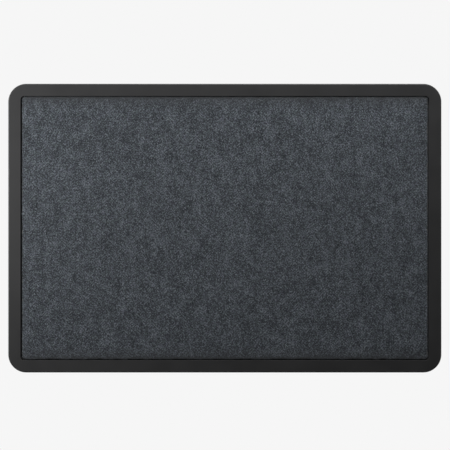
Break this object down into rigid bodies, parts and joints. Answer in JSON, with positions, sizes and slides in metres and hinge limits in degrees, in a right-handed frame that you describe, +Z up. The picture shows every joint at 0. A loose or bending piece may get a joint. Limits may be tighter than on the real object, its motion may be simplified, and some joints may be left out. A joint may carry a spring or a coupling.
{
  "type": "desk mat",
  "caption": "Rectangular desk mat with large rounded corners: moulded rubber tray with a raised flat border, and a cushioned tweed textile insert bonded in its well.",
  "frame": {"origin": "middle of the footprint, on the surface that the mat lies on", "axes": "+X along the long side, +Y along the short side, +Z up out of the textile face"},
  "size_m": [0.9144, 0.6096, 0.0095],
  "materials": {
    "tray_rubber": "matte black moulded rubber with a fine grain",
    "adhesive_film": "amber adhesive film",
    "backing_rubber": "dense black calendered rubber sheet",
    "core_foam": "fine closed-cell foam, matte",
    "scrim_cloth": "plain-woven grey carrier cloth",
    "face_textile": "heathered blue-grey charcoal tweed, matte, slightly fuzzy"
  },
  "bodies": {
    "root": {"tray": "tray_rubber", "bond_film": "adhesive_film", "insert_backing": "backing_rubber", "cushion_core": "core_foam", "carrier_scrim": "scrim_cloth", "fabric_face": "face_textile"}
  },
  "joints": []
}
